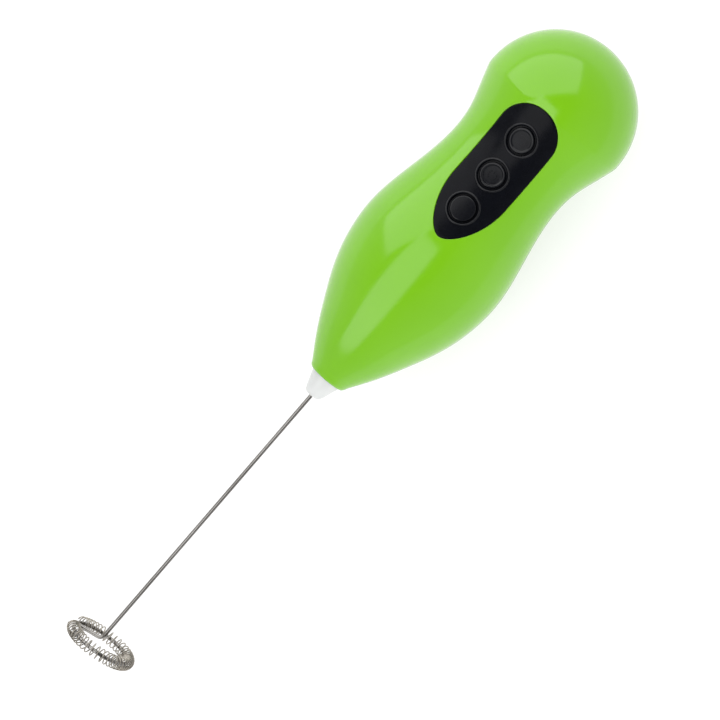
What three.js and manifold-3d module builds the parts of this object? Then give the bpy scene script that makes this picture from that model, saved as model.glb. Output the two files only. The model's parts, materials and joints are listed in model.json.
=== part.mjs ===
// A battery milk frother, lying on its back on a table with its buttons up.
// Lengths are millimetres. While it is built, x runs along the handle's axis from the nose end (0) to the
// round head, the axis is at y = z = 0 and z points out of the buttons. The last lines move the whole
// frother so that it rests on z = 0 with its outline centred over the origin.
import * as THREE from 'three';
import { mergeVertices } from 'three/addons/utils/BufferGeometryUtils.js';
import Module from 'manifold-3d';

const wasm = await Module();
wasm.setup();

// ---- Driving dimensions -------------------------------------------------------------------------

const GAP = 0.3; // clearance between parts that touch
const ROUND = 28; // sides of the handle's round section
const FINE = 18; // sides of a round hole or bar that shows
const COARSE = 8; // sides of a small screw or its hole

// Handle: x and radius of the side, from the front lip over the belly and the neck to the head's flare.
const SIDE = [
  [1.5, 6.5], [8.5, 10.8], [16.5, 14.95], [24.5, 18.65], [32.5, 21.3], [39, 22.5], [45, 22.9],
  [52.5, 22.25], [60, 20.8], [68, 19.2], [77, 18.3], [84.5, 19.1], [90.5, 20.95], [96.2, 22.75],
];
const LIP_RADIUS = 5.6;
const NOSE_BORE = 5.0;
const HEAD_X = 97.4; // centre of the round head
const HEAD_RADIUS = 22.8;
const WALL = 2.3;
const REST_DEPTH = 22.5; // the axis is this far above the table, on two small flats
const SEAM = 0.2; // gap between the two halves, below the axis
const MOTOR_RIBS = { at: [26, 41], thickness: 1.8 };

// Whisk
const WIRE_RADIUS = 0.6;
const SPOKE_X = -99.9; // where the spoke leaves the shaft
const RING_X = -101.1; // centre of the ring
const RING_OFFSET = -0.8; // y of the ring's centre
const RING_RADIUS = 9.2;
const RING_LEAN = 0.08; // how much further out the ring stands for each millimetre along +y
const RING_DROP = 0.5; // how far the free end of the ring stands past its start
const RING_START = THREE.MathUtils.degToRad(8);
const RING_END = THREE.MathUtils.degToRad(350);
const COIL_START = THREE.MathUtils.degToRad(24);
const COIL_TURNS = 44;
const COIL_SPREAD = 0.02; // share of the coil's length by which its turns are spread at the ring's sides
const COIL_WIRE = 0.2; // radius of the coil's own wire
const COIL_RADIUS = 1.87; // centre of the coil's wire, from the ring wire's centre

// Nose cone and drive line
const TIP_X = -6.5;
const FRONT_WALL = 3.7;
const FLANGE = { start: 4.0, end: 6.0, radius: 5.4 };
const FRONT_RIB = { start: 6.3, end: 7.8, bore: 4.4 };
const COUPLING = { start: 9.5, end: 19.5, radius: 3.0 };
const MOTOR = { front: 21.5, rear: 46.5, radius: 10.2, flat: 7.7, wall: 0.9 };
const SHAFT_RADIUS = 1.0;
const ARMATURE = { radius: 6.4, slotRadius: 1.9, slotCentre: 4.1, start: 27, end: 38 };
const MAGNET = { inner: 6.9, outer: 9.0, start: 25.5, end: 39.5, halfAngle: THREE.MathUtils.degToRad(42) };
const COMMUTATOR = { start: 40, end: 45, radius: 2.4 };
const BRUSH = { start: 41, half: 1.2, z: 2.75, thickness: 0.3 };
const TERMINAL = { y: 7.2, half: 1.2, thickness: 0.4, length: 3.2 };
const LEAD = { y: 6.2, radius: 0.55 };

// Buttons and panel
const PANEL = { nose: 52.6, shoulder: 68.8, blunt: 88.1, end: 96.4, half: 8.85, depth: 3.6 };
const BUTTONS = [
  { name: 'slow_button', x: 62.4, proud: 0.25 },
  { name: 'power_button', x: 74.2, proud: 0.05 },
  { name: 'fast_button', x: 86.3, proud: 0.1 },
];
const CAP_RADIUS = 3.5;
const CAP_DISC = 4.4; // radius of the disc that keeps a button under the panel
const MOAT = { radius: 4.6, depth: 0.8 };
const BOARD = { start: 53.2, end: 95.6, half: 8, top: 7.5, thickness: 1.5 };
const SWITCH = { half: 3, height: 2.8, plunger: 1.7, stroke: 0.6 };
const BUTTON_FOOT_Z = BOARD.top + SWITCH.height + SWITCH.stroke + 0.7;
const POSTS = [55.6, 93.2];

// Battery bay
const CELL = { radius: 7.2, length: 49.5, nub: 1.0, nubRadius: 2.7, y: 7.55, z: -4.2 };
const BAY = { start: 55.0, end: 111.0, wall: 1.3, roof: 4.3, skirt: -1.5, floor: -11.5 };
const SPRING = { wide: 4.0, narrow: 2.4, turns: 3, wire: 0.35 };
const DOOR = { start: 54.6, end: 112.5, half: 14.9, corner: 6, thickness: 1.8 };
const GRIP = { at: [60, 62.5, 65], width: 1.2, half: 7, proud: 0.5 };

// Screws: x, y and the height of the seat under the head
const CASE_SCREWS = [
  { x: 15.5, y: 8, seat: -6.5 },
  { x: 15.5, y: -8, seat: -6.5 },
  { x: 49.5, y: 15.2, seat: -6.5 },
  { x: 49.5, y: -15.2, seat: -6.5 },
  { x: 116.8, y: 0, seat: -5 },
];
const SCREW = { head: 2.3, headHeight: 1.6, shank: 1.2, length: 12, bore: 2.6, boss: 3.7 };

const FAR = 40; // further than any part reaches from the axis

// ---- Materials ----------------------------------------------------------------------------------

function material(color, roughness, metalness = 0, opacity = 1) {
  return new THREE.MeshStandardMaterial({
    color, roughness, metalness, opacity, transparent: opacity < 1,
  });
}

const GREEN = material(0x7fc820, 0.22);
const MILKY = material(0xdfe1df, 0.4, 0, 0.9);
const BLACK = material(0x1b1c20, 0.55);
const GREY_PLASTIC = material(0xb9bbb8, 0.5);
const STEEL = material(0x9c9a96, 0.3, 1);
const NICKEL = material(0xc9c7c0, 0.35, 1);
const BRASS = material(0xc7a24c, 0.35, 1);
const COPPER = material(0xb8703c, 0.4, 1);
const FERRITE = material(0x3a3a3c, 0.7);
const CELL_SLEEVE = material(0x4a5560, 0.35, 0.6);
const BOARD_GREEN = material(0x1f5c36, 0.5);
const RED_LEAD = material(0xb3261e, 0.5);
const BLACK_LEAD = material(0x18181a, 0.5);

// ---- Solids -------------------------------------------------------------------------------------

// A closed three.js geometry as a manifold solid, without the flat triangles at a lathe's poles.
function solid(geometry) {
  const bare = geometry.clone();
  bare.deleteAttribute('normal');
  bare.deleteAttribute('uv');
  const merged = mergeVertices(bare, 1e-4);
  const corners = merged.index.array;
  const kept = [];
  for (let i = 0; i < corners.length; i += 3) {
    const [a, b, c] = [corners[i], corners[i + 1], corners[i + 2]];
    if (a !== b && b !== c && c !== a) kept.push(a, b, c);
  }
  return new wasm.Manifold(new wasm.Mesh({
    numProp: 3,
    vertProperties: Float32Array.from(merged.attributes.position.array),
    triVerts: Uint32Array.from(kept),
  }));
}

function geometryOf(manifold) {
  const mesh = manifold.getMesh();
  const geometry = new THREE.BufferGeometry();
  const corners = new THREE.BufferAttribute(Float32Array.from(mesh.vertProperties), 3);
  geometry.setAttribute('position', corners);
  geometry.setIndex(new THREE.BufferAttribute(Uint32Array.from(mesh.triVerts), 1));
  const faceted = geometry.toNonIndexed();
  faceted.computeVertexNormals();
  return faceted;
}

// A block between two corners.
function block(low, high) {
  const size = high.map((v, i) => v - low[i]);
  const centre = high.map((v, i) => (v + low[i]) / 2);
  return solid(new THREE.BoxGeometry(...size).translate(...centre));
}

// A profile of [x, radius] points turned round the x axis. It starts and ends on the axis, or its last
// point meets its first.
function turned(profile, sides) {
  const points = profile.map(([x, radius]) => new THREE.Vector2(radius, x));
  return solid(new THREE.LatheGeometry(points, sides).rotateZ(-Math.PI / 2));
}

function closed(profile) {
  return [...profile, profile[0]];
}

// A tube round the x axis.
function tube(start, end, radius, bore, sides = FINE) {
  return turned(closed([[start, bore], [start, radius], [end, radius], [end, bore]]), sides);
}

function rod(start, end, radius, sides = FINE) {
  return turned([[start, 0], [start, radius], [end, radius], [end, 0]], sides);
}

// A round bar that stands along z.
function pillar(x, y, low, high, radius, sides = FINE) {
  const bar = new THREE.CylinderGeometry(radius, radius, high - low, sides).rotateX(Math.PI / 2);
  return solid(bar.translate(x, y, (low + high) / 2));
}

// A shape drawn in the x-y plane, extruded from one height to another.
function slab(shape, low, high, curveSegments = 6) {
  const options = { depth: high - low, bevelEnabled: false, curveSegments };
  return solid(new THREE.ExtrudeGeometry(shape, options).translate(0, 0, low));
}

// A shape drawn in the y-z plane, extruded along x.
function bar(shape, start, end, curveSegments = 6) {
  const options = { depth: end - start, bevelEnabled: false, curveSegments };
  const geometry = new THREE.ExtrudeGeometry(shape, options).translate(0, 0, start);
  const turn = new THREE.Matrix4().makeBasis(
    new THREE.Vector3(0, 1, 0), new THREE.Vector3(0, 0, 1), new THREE.Vector3(1, 0, 0),
  );
  return solid(geometry.applyMatrix4(turn));
}

// A wire of the given radius along a curve.
function wire(curve, radius, steps, sides) {
  const section = new THREE.Shape();
  for (let i = 0; i < sides; i += 1) {
    const angle = (2 * Math.PI * i) / sides;
    const [a, b] = [radius * Math.cos(angle), radius * Math.sin(angle)];
    if (i === 0) section.moveTo(a, b);
    else section.lineTo(a, b);
  }
  return solid(new THREE.ExtrudeGeometry(section, { steps, extrudePath: curve, bevelEnabled: false }));
}

const upperHalf = block([-10, -FAR, 0], [150, FAR, FAR]);
const lowerHalf = block([-10, -FAR, -REST_DEPTH], [150, FAR, -SEAM]);

// ---- Handle surface -----------------------------------------------------------------------------

const side = new THREE.SplineCurve(SIDE.map(([x, radius]) => new THREE.Vector2(x, radius)));

// The side's radius at x.
function sideRadius(x) {
  let [low, high] = [0, 1];
  for (let i = 0; i < 30; i += 1) {
    const middle = (low + high) / 2;
    if (side.getPoint(middle).x < x) low = middle;
    else high = middle;
  }
  return side.getPoint(low).y;
}

// [x, radius] points of the handle's surface, moved in by a depth, from the given x to the head's end.
// Surfaces inside the wall are coarser than the outside.
function surfaceProfile(depth, from) {
  const [steps, domeSteps] = depth < 1 ? [2 * (SIDE.length - 1), 6] : [SIDE.length - 1, 4];
  const points = side.getPoints(steps).map((p) => [p.x, p.y - depth]).filter(([x]) => x > from + 0.5);
  const radius = HEAD_RADIUS - depth;
  const flare = Math.acos((SIDE.at(-1)[0] - HEAD_X) / HEAD_RADIUS);
  for (let i = 1; i < domeSteps; i += 1) {
    const angle = flare * (1 - i / domeSteps);
    points.push([HEAD_X + radius * Math.cos(angle), radius * Math.sin(angle)]);
  }
  return [...points, [HEAD_X + radius, 0]];
}

// Everything inside the handle's surface, moved in by a depth, behind a flat face at x.
function withinHandle(depth, from) {
  const first = [from, sideRadius(from) - depth];
  return turned([[from, 0], first, ...surfaceProfile(depth, from)], ROUND);
}

const outerBody = turned(
  [[0, 0], [0, LIP_RADIUS], [0.5, LIP_RADIUS + 0.35], SIDE[0], ...surfaceProfile(0, SIDE[0][0])],
  ROUND,
);
const cavity = withinHandle(WALL, FRONT_WALL);
const noseBore = rod(-1, FRONT_WALL + 1, NOSE_BORE, ROUND);
const wallSkin = withinHandle(WALL - 1, FRONT_WALL);
const frontRib = tube(FRONT_RIB.start, FRONT_RIB.end, 12, FRONT_RIB.bore, ROUND).intersect(wallSkin);

// The motor's section: a circle with two flats, grown by a margin.
function motorShape(margin) {
  const radius = MOTOR.radius + margin;
  const corner = Math.asin((MOTOR.flat + margin) / radius);
  const shape = new THREE.Shape();
  shape.absarc(0, 0, radius, -corner, corner, false);
  shape.absarc(0, 0, radius, Math.PI - corner, Math.PI + corner, false);
  return shape;
}

// Two ribs across the handle that clamp the motor.
function motorRibs() {
  const ribs = MOTOR_RIBS.at.map((x) => block([x, -FAR, -FAR], [x + MOTOR_RIBS.thickness, FAR, FAR]));
  const nest = bar(motorShape(GAP / 2), 20, 48);
  return ribs[0].add(ribs[1]).intersect(wallSkin).subtract(nest);
}

// ---- Housing ------------------------------------------------------------------------------------

// The panel's outline seen from above, grown by a margin: pointed towards the nose, blunt at the head.
function panelShape(margin) {
  const half = PANEL.half + margin;
  const nose = PANEL.nose - margin;
  const shape = new THREE.Shape();
  shape.moveTo(nose, 0);
  shape.bezierCurveTo(nose, -3.3, 59.8, -half, PANEL.shoulder, -half);
  shape.lineTo(PANEL.blunt, -half);
  const length = PANEL.end + margin - PANEL.blunt;
  shape.absellipse(PANEL.blunt, 0, length, half, -Math.PI / 2, Math.PI / 2, false);
  shape.lineTo(PANEL.shoulder, half);
  shape.bezierCurveTo(59.8, half, nose, 3.3, nose, 0);
  return shape;
}

function roundedRectangle(x0, x1, half, corner) {
  const shape = new THREE.Shape();
  shape.absarc(x1 - corner, half - corner, corner, 0, Math.PI / 2, false);
  shape.absarc(x0 + corner, half - corner, corner, Math.PI / 2, Math.PI, false);
  shape.absarc(x0 + corner, corner - half, corner, Math.PI, 1.5 * Math.PI, false);
  shape.absarc(x1 - corner, corner - half, corner, 1.5 * Math.PI, 2 * Math.PI, false);
  return shape;
}

function doorShape(margin) {
  return roundedRectangle(
    DOOR.start - margin, DOOR.end + margin, DOOR.half + margin, DOOR.corner + margin,
  );
}

function frontShell() {
  const bosses = CASE_SCREWS.map(({ x, y }) => pillar(x, y, 0, FAR, SCREW.boss, 12));
  const pilots = CASE_SCREWS.map(({ x, y, seat }) => (
    pillar(x, y, -1, seat + SCREW.length + 1, SCREW.shank + 0.2, COARSE)
  ));
  let inside = bosses.reduce((all, boss) => all.add(boss)).intersect(wallSkin);
  inside = inside.add(motorRibs()).add(frontRib);
  const shell = outerBody.subtract(cavity).subtract(noseBore).add(inside);
  const opened = shell.intersect(upperHalf).subtract(slab(panelShape(GAP), 5, FAR));
  return pilots.reduce((part, pilot) => part.subtract(pilot), opened);
}

function rearShell() {
  const bosses = CASE_SCREWS.map(({ x, y }) => pillar(x, y, -FAR, 0, SCREW.boss, 12));
  let inside = bosses.reduce((all, boss) => all.add(boss)).intersect(wallSkin);
  inside = inside.add(motorRibs()).add(frontRib);
  const shell = outerBody.subtract(cavity).subtract(noseBore).add(inside);
  let part = shell.intersect(lowerHalf).subtract(slab(doorShape(GAP), -FAR, 1));
  for (const { x, y, seat } of CASE_SCREWS) {
    part = part.subtract(pillar(x, y, -FAR, seat, SCREW.bore, 14));
    part = part.subtract(pillar(x, y, -FAR, 1, SCREW.shank + 0.2, COARSE));
  }
  return part;
}

// The cover of the battery bay, with three grip ridges across it at the neck.
function batteryDoor() {
  const skin = outerBody.subtract(withinHandle(DOOR.thickness, FRONT_WALL));
  const ridgeBand = withinHandle(-GRIP.proud, 2).subtract(withinHandle(0.5, FRONT_WALL));
  const ridges = GRIP.at.map((x) => {
    const outline = roundedRectangle(x, x + GRIP.width, GRIP.half, 0.45 * GRIP.width);
    return slab(outline, -FAR, -10, 2).intersect(ridgeBand);
  });
  const lid = skin.intersect(slab(doorShape(0), -REST_DEPTH, -SEAM));
  return ridges.reduce((part, ridge) => part.add(ridge), lid);
}

function noseCone() {
  return turned(closed([
    [TIP_X, 0.8], [TIP_X, 1.9], [TIP_X + 0.25, 2.4], [TIP_X + 0.8, 2.85], [0, NOSE_BORE - 0.2],
    [FLANGE.start, NOSE_BORE - 0.2], [FLANGE.start, FLANGE.radius], [FLANGE.end, FLANGE.radius],
    [FLANGE.end, 4], [FRONT_RIB.end, 4], [FRONT_RIB.end, 2.5], [1, 2.5], [1, 0.8],
  ]), FINE);
}

// ---- Buttons ------------------------------------------------------------------------------------

// The black panel in the neck, with a moat and a hole for each button and two posts for the board.
function buttonPanel() {
  const skin = withinHandle(0.1, 2).subtract(withinHandle(PANEL.depth, 3));
  const rim = withinHandle(WALL + GAP, 3).subtract(withinHandle(PANEL.depth, 3));
  let part = skin.intersect(slab(panelShape(0), 5, FAR));
  part = part.add(rim.intersect(slab(panelShape(1.6), 5, FAR)));
  const moatSpace = withinHandle(-1, 2).subtract(withinHandle(MOAT.depth, 3));
  const postSpace = withinHandle(PANEL.depth - 0.5, 3);
  for (const { x } of BUTTONS) {
    part = part.subtract(pillar(x, 0, 5, FAR, MOAT.radius).intersect(moatSpace));
    part = part.subtract(pillar(x, 0, 5, FAR, CAP_RADIUS + GAP));
  }
  for (const x of POSTS) {
    const post = pillar(x, 0, BOARD.top + GAP, FAR, 1.9, 12).intersect(postSpace);
    const pilot = pillar(x, 0, 0, BOARD.top + 6, 1.0, COARSE);
    part = part.add(post).subtract(pilot);
  }
  return part;
}

// A button whose top follows the panel, with a retaining disc under the panel and a foot on its switch.
function button({ x, proud }) {
  const discTop = sideRadius(x) - PANEL.depth - 1.8;
  const cap = pillar(x, 0, discTop - 0.5, FAR, CAP_RADIUS).intersect(withinHandle(-proud, 2));
  const disc = pillar(x, 0, discTop - 0.9, discTop, CAP_DISC);
  const foot = pillar(x, 0, BUTTON_FOOT_Z, discTop, 1.6, 12);
  return cap.add(disc).add(foot);
}

function circuitBoard() {
  const shape = roundedRectangle(BOARD.start, BOARD.end, BOARD.half, 2.5);
  const board = slab(shape, BOARD.top - BOARD.thickness, BOARD.top, 4);
  return POSTS.reduce((part, x) => part.subtract(pillar(x, 0, 0, 10, 1.1, COARSE)), board);
}

function tactSwitch(x) {
  const low = BOARD.top + 0.05;
  const top = BOARD.top + SWITCH.height;
  const { half } = SWITCH;
  return block([x - half, -half, low], [x + half, half, top])
    .add(pillar(x, 0, top - 0.5, top + SWITCH.stroke, SWITCH.plunger, 12));
}

// ---- Whisk --------------------------------------------------------------------------------------

// The centre line of the ring, at an angle counted from the spoke (+y) round by -z.
function ringPoint(angle) {
  const share = (angle - RING_START) / (RING_END - RING_START);
  const y = RING_RADIUS * Math.cos(angle);
  const x = RING_X - RING_LEAN * y - RING_DROP * (share - 0.5);
  return new THREE.Vector3(x, y + RING_OFFSET, -RING_RADIUS * Math.sin(angle));
}

class RingCurve extends THREE.Curve {
  getPoint(t) {
    return ringPoint(RING_START + t * (RING_END - RING_START));
  }
}

// A fine coil round the ring wire. Its turns stand closer where the ring is near the spoke, and opposite.
class CoilCurve extends THREE.Curve {
  constructor() {
    super();
    this.arcLengthDivisions = 40 * COIL_TURNS;
  }

  getPoint(t) {
    const angle = COIL_START + t * (RING_END - COIL_START);
    const turn = 2 * Math.PI * COIL_TURNS * (t + COIL_SPREAD * Math.sin(4 * Math.PI * t));
    const outward = new THREE.Vector3(0, Math.cos(angle), -Math.sin(angle));
    const offset = outward.multiplyScalar(COIL_RADIUS * Math.cos(turn));
    offset.x = COIL_RADIUS * Math.sin(turn);
    return ringPoint(angle).add(offset);
  }
}

// The shaft, the spoke and the ring, bent from one wire.
function whiskWire() {
  const corner = 1.5;
  const start = ringPoint(RING_START);
  const bend = new THREE.Vector3(SPOKE_X, 0, 0);
  const rim = new THREE.Vector3(start.x, start.y, 0);
  const near = bend.clone().lerp(rim, corner / bend.distanceTo(rim));
  const far = rim.clone().lerp(bend, corner / bend.distanceTo(rim));
  const shaftEnd = new THREE.Vector3(SPOKE_X + corner, 0, 0);
  const overlap = new THREE.Vector3(SPOKE_X + corner + 3, 0, 0);
  const path = new THREE.CurvePath();
  path.add(new THREE.LineCurve3(overlap, shaftEnd));
  path.add(new THREE.QuadraticBezierCurve3(shaftEnd, bend, near));
  path.add(new THREE.LineCurve3(near, far));
  path.add(new THREE.QuadraticBezierCurve3(far, rim, start));
  path.add(new RingCurve());
  path.arcLengthDivisions = 400;
  const shaft = rod(shaftEnd.x + 1, COUPLING.start + 4.5, WIRE_RADIUS, COARSE);
  return shaft.add(wire(path, WIRE_RADIUS, 44, COARSE));
}

function whiskCoil() {
  return wire(new CoilCurve(), COIL_WIRE, COIL_TURNS * 8, 3);
}

// ---- Drive --------------------------------------------------------------------------------------

function shaftBush() {
  return tube(1.2, FRONT_RIB.end - 0.2, 2.3, 0.7, 12);
}

function shaftCoupling() {
  const middle = COUPLING.start + 5;
  return turned(closed([
    [COUPLING.start, 0.7], [COUPLING.start, COUPLING.radius], [COUPLING.end, COUPLING.radius],
    [COUPLING.end, SHAFT_RADIUS + 0.1], [middle, SHAFT_RADIUS + 0.1], [middle, 0.7],
  ]), 16);
}

function motorCan() {
  const { front, rear, wall } = MOTOR;
  return bar(motorShape(0), front, rear)
    .add(rod(front - 1.5, front + 1, 3, 16))
    .subtract(bar(motorShape(-wall), front + wall, rear + 1))
    .subtract(rod(front - 2, rear, SHAFT_RADIUS + 0.2, 16));
}

function motorEndCap() {
  const front = MOTOR.rear + GAP;
  return bar(motorShape(0), front, front + 2.5)
    .add(rod(front + 1, front + 3.5, 3.2, 16))
    .subtract(rod(front - 1, front + 1.6, SHAFT_RADIUS + 0.2, 16));
}

const POLES = [0, 1, 2].map((i) => ((2 * i + 0.5) * Math.PI) / 3);

// A round bar along the motor in one of the armature's slots.
function slotBar(angle, radius, overhang) {
  const { slotCentre, start, end } = ARMATURE;
  const [y, z] = [slotCentre * Math.cos(angle), slotCentre * Math.sin(angle)];
  return rod(start - overhang, end + overhang, radius, 12).translate([0, y, z]);
}

// The rotor's iron, with three slots that hold the windings.
function armatureCore() {
  const { radius, start, end, slotRadius } = ARMATURE;
  let core = rod(start, end, radius, 24).subtract(rod(start - 1, end + 1, SHAFT_RADIUS + 0.1, 16));
  for (const angle of POLES) {
    const mouth = block([start - 1, 4, -0.8], [end + 1, 8, 0.8]);
    core = core.subtract(slotBar(angle, slotRadius, 1));
    core = core.subtract(mouth.rotate([THREE.MathUtils.radToDeg(angle), 0, 0]));
  }
  return core;
}

function armatureWinding(angle) {
  return slotBar(angle, ARMATURE.slotRadius - GAP, 1.2);
}

// A curved magnet on one side of the armature.
function magnet(direction) {
  const shape = new THREE.Shape();
  const half = MAGNET.halfAngle;
  const middle = direction > 0 ? 0 : Math.PI;
  shape.absarc(0, 0, MAGNET.outer, middle - half, middle + half, false);
  shape.absarc(0, 0, MAGNET.inner, middle + half, middle - half, true);
  return bar(shape, MAGNET.start, MAGNET.end);
}

function brush(direction) {
  const { start, half, thickness } = BRUSH;
  const low = direction * BRUSH.z - thickness / 2;
  return block([start, -half, low], [MOTOR.rear, half, low + thickness]);
}

function motorTerminal(direction) {
  const { half, thickness, length } = TERMINAL;
  const low = direction * TERMINAL.y - thickness / 2;
  const start = MOTOR.rear + GAP + 2.6;
  return block([start, low, -half], [start + length, low + thickness, half]);
}

// A lead from a motor terminal up to the front edge of the circuit board.
function motorLead(direction) {
  const y = direction * LEAD.y;
  const route = new THREE.CatmullRomCurve3([
    [51.4, y, 0], [52.0, y, 4.5], [52.2, y * 0.9, 8.8], [53.6, y * 0.85, 10.1], [55.0, y * 0.85, 9.3],
    [55.3, y * 0.85, BOARD.top + 0.2],
  ].map((p) => new THREE.Vector3(...p)));
  return wire(route, LEAD.radius, 14, 6);
}

// ---- Batteries ----------------------------------------------------------------------------------

// A cell from its flat end at x, pointing its nub along +x or -x.
function cell(x, direction, y) {
  const { radius, length, nub, nubRadius } = CELL;
  const edge = 0.4;
  const profile = [
    [0, 0], [0, radius - edge], [edge, radius], [length - edge, radius], [length, radius - edge],
    [length, nubRadius], [length + nub, nubRadius], [length + nub, 0],
  ];
  const points = profile.map(([along, r]) => new THREE.Vector2(r, along));
  const body = new THREE.LatheGeometry(points, FINE).rotateZ((-direction * Math.PI) / 2);
  return solid(body.translate(x, y, CELL.z));
}

// The saddle over the cells, with a wall at each end of the bay.
function batteryTray() {
  const start = BAY.start - BAY.wall;
  const end = BAY.end + BAY.wall;
  const inside = withinHandle(WALL + 0.4, FRONT_WALL);
  const roof = block([start, -16.2, BAY.skirt], [end, 16.2, BAY.roof]);
  const ends = [start, BAY.end].map((x) => block([x, -11, BAY.floor], [x + BAY.wall, 11, BAY.roof]));
  let tray = roof.intersect(inside);
  for (const direction of [1, -1]) {
    const trough = rod(BAY.start, BAY.end, CELL.radius + GAP);
    tray = tray.subtract(trough.translate([0, direction * CELL.y, CELL.z]));
  }
  tray = tray.subtract(block([BAY.start, -CELL.y, -FAR], [BAY.end, CELL.y, CELL.z + 5]));
  tray = tray.add(ends[0].intersect(inside)).add(ends[1].intersect(inside));
  for (const direction of [1, -1]) {
    const y = direction * CELL.y;
    tray = tray.subtract(block([BAY.start - 0.2, y - 1.4, 0], [BAY.start + 1, y + 1.4, 6]));
  }
  return tray;
}

// A contact plate at the front of the bay, with a tab up to the circuit board.
function contactPlate(direction) {
  const y = direction * CELL.y;
  const front = BAY.start + 0.15;
  const plate = block([front, y - 4.5, CELL.z - 4.5], [front + 0.4, y + 4.5, CELL.z + 4.5]);
  const tab = block([front, y - 1, CELL.z], [front + 0.4, y + 1, BOARD.top - BOARD.thickness - 0.15]);
  return plate.add(tab);
}

// The plate that joins the two cells at the head end.
function contactBridge() {
  const rear = BAY.end - 0.15;
  return block([rear - 0.4, -CELL.y - 4.5, CELL.z - 4], [rear, CELL.y + 4.5, CELL.z + 4]);
}

// A conical spring round a cell's axis, wide at its plate and narrow at the cell.
class SpringCurve extends THREE.Curve {
  constructor(plateX, cellX, y) {
    super();
    Object.assign(this, { plateX, cellX, y });
  }

  getPoint(t) {
    const radius = THREE.MathUtils.lerp(SPRING.wide, SPRING.narrow, t);
    const angle = 2 * Math.PI * SPRING.turns * t;
    const x = THREE.MathUtils.lerp(this.plateX, this.cellX, t);
    return new THREE.Vector3(x, this.y + radius * Math.cos(angle), CELL.z + radius * Math.sin(angle));
  }
}

function batterySpring(plateX, cellX, y) {
  return wire(new SpringCurve(plateX, cellX, y), SPRING.wire, 10 * SPRING.turns, 4);
}

// ---- Fasteners ----------------------------------------------------------------------------------

// A pan-head screw that points up, with a cross slot in its head.
function screw(x, y, seat, { head, headHeight, shank, length }) {
  const slots = [0, Math.PI / 2].map((turn) => {
    const slot = new THREE.BoxGeometry(head * 1.3, head * 0.25, 1.4).rotateZ(turn);
    return solid(slot.translate(x, y, seat - headHeight));
  });
  return pillar(x, y, seat - headHeight, seat - 0.05, head, 14)
    .add(pillar(x, y, seat - 0.5, seat + length, shank, COARSE))
    .subtract(slots[0])
    .subtract(slots[1]);
}

// ---- Assembly -----------------------------------------------------------------------------------

const frother = new THREE.Group();

function place(name, manifold, look, group) {
  const mesh = new THREE.Mesh(geometryOf(manifold), look);
  mesh.name = name;
  group.add(mesh);
}

function housing() {
  const group = new THREE.Group();
  place('front_shell', frontShell(), GREEN, group);
  place('rear_shell', rearShell(), GREEN, group);
  place('battery_door', batteryDoor(), GREEN, group);
  place('nose_cone', noseCone(), MILKY, group);
  CASE_SCREWS.forEach(({ x, y, seat }, i) => {
    place(`case_screw_${i + 1}`, screw(x, y, seat, SCREW), NICKEL, group);
  });
  return group;
}

function controls() {
  const group = new THREE.Group();
  place('button_panel', buttonPanel(), BLACK, group);
  place('circuit_board', circuitBoard(), BOARD_GREEN, group);
  for (const item of BUTTONS) {
    place(item.name, button(item), BLACK, group);
    place(`tact_switch_${item.name.replace('_button', '')}`, tactSwitch(item.x), BLACK, group);
  }
  const small = { head: 1.6, headHeight: 1.0, shank: 0.8, length: 6 };
  POSTS.forEach((x, i) => {
    const seat = BOARD.top - BOARD.thickness - 0.05;
    place(`board_screw_${i + 1}`, screw(x, 0, seat, small), NICKEL, group);
  });
  return group;
}

function drive() {
  const group = new THREE.Group();
  place('whisk_wire', whiskWire(), STEEL, group);
  place('whisk_coil', whiskCoil(), STEEL, group);
  place('shaft_bush', shaftBush(), BRASS, group);
  place('shaft_coupling', shaftCoupling(), BRASS, group);
  const motorShaft = rod(COUPLING.start + 5.2, MOTOR.rear + 1.5, SHAFT_RADIUS, 12);
  place('motor_shaft', motorShaft, STEEL, group);
  place('motor_can', motorCan(), NICKEL, group);
  place('motor_end_cap', motorEndCap(), GREY_PLASTIC, group);
  place('armature_core', armatureCore(), STEEL, group);
  POLES.forEach((angle, i) => {
    place(`armature_winding_${i + 1}`, armatureWinding(angle), COPPER, group);
  });
  const { start, end, radius } = COMMUTATOR;
  place('commutator', tube(start, end, radius, SHAFT_RADIUS + 0.1, 16), COPPER, group);
  place('magnet_left', magnet(1), FERRITE, group);
  place('magnet_right', magnet(-1), FERRITE, group);
  place('brush_upper', brush(1), BRASS, group);
  place('brush_lower', brush(-1), BRASS, group);
  place('motor_terminal_left', motorTerminal(1), BRASS, group);
  place('motor_terminal_right', motorTerminal(-1), BRASS, group);
  place('motor_lead_red', motorLead(1), RED_LEAD, group);
  place('motor_lead_black', motorLead(-1), BLACK_LEAD, group);
  return group;
}

function power() {
  const group = new THREE.Group();
  const springRoom = 4.25;
  const leftEnd = BAY.end - springRoom;
  const rightEnd = BAY.start + springRoom;
  place('battery_tray', batteryTray(), GREY_PLASTIC, group);
  place('battery_left', cell(leftEnd, -1, CELL.y), CELL_SLEEVE, group);
  place('battery_right', cell(rightEnd, 1, -CELL.y), CELL_SLEEVE, group);
  place('contact_positive', contactPlate(1), NICKEL, group);
  place('contact_negative', contactPlate(-1), NICKEL, group);
  place('contact_bridge', contactBridge(), NICKEL, group);
  const nearPlate = 0.95;
  const rearSpring = batterySpring(BAY.end - nearPlate, leftEnd + 0.4, CELL.y);
  const frontSpring = batterySpring(BAY.start + nearPlate, rightEnd - 0.4, -CELL.y);
  place('battery_spring_rear', rearSpring, NICKEL, group);
  place('battery_spring_front', frontSpring, NICKEL, group);
  return group;
}

frother.add(housing(), controls(), drive(), power());

const bounds = new THREE.Box3().setFromObject(frother);
frother.position.set(-(bounds.min.x + bounds.max.x) / 2, 0, REST_DEPTH);

export default frother;
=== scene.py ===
import json
import math

import bmesh
import bpy
import numpy as np
from mathutils import Matrix, Vector
from mathutils.geometry import delaunay_2d_cdt


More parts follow.
